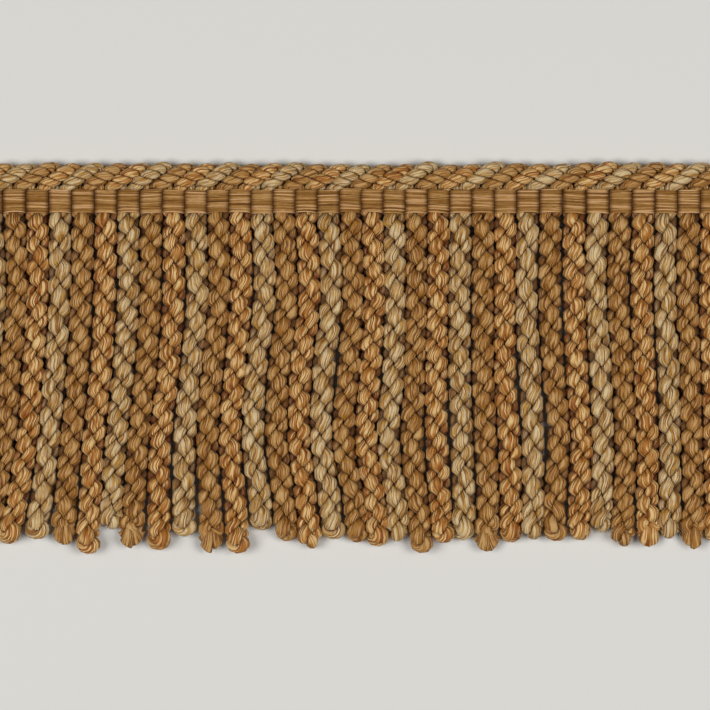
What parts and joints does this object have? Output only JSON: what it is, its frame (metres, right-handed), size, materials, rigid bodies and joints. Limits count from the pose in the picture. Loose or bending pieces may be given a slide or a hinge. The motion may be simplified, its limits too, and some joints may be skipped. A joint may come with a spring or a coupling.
{
  "type": "bullion fringe",
  "caption": "Cut length of bullion fringe: a narrow ribbed woven band with twisted cord bullions in three colours and a leaning corded top edge, lying face up.",
  "frame": {"origin": "the middle of the flat back of the woven band, at half its length and half its height", "axes": "+X along the length of the fringe, +Y from the bullion tips up towards the corded edge, +Z out of the face"},
  "size_m": [0.238, 0.1216, 0.0079],
  "materials": {
    "cream_yarn": "soft satin, streaked cream and tan spun yarn",
    "gold_yarn": "soft satin, old gold and olive spun yarn",
    "rust_yarn": "soft satin, rust and apricot spun yarn",
    "band_yarn": "matt gold warp yarn"
  },
  "bodies": {
    "root": {"woven_band": "band_yarn", "cord_cream": "cream_yarn", "cord_gold": "gold_yarn", "cord_rust": "rust_yarn"}
  },
  "joints": []
}
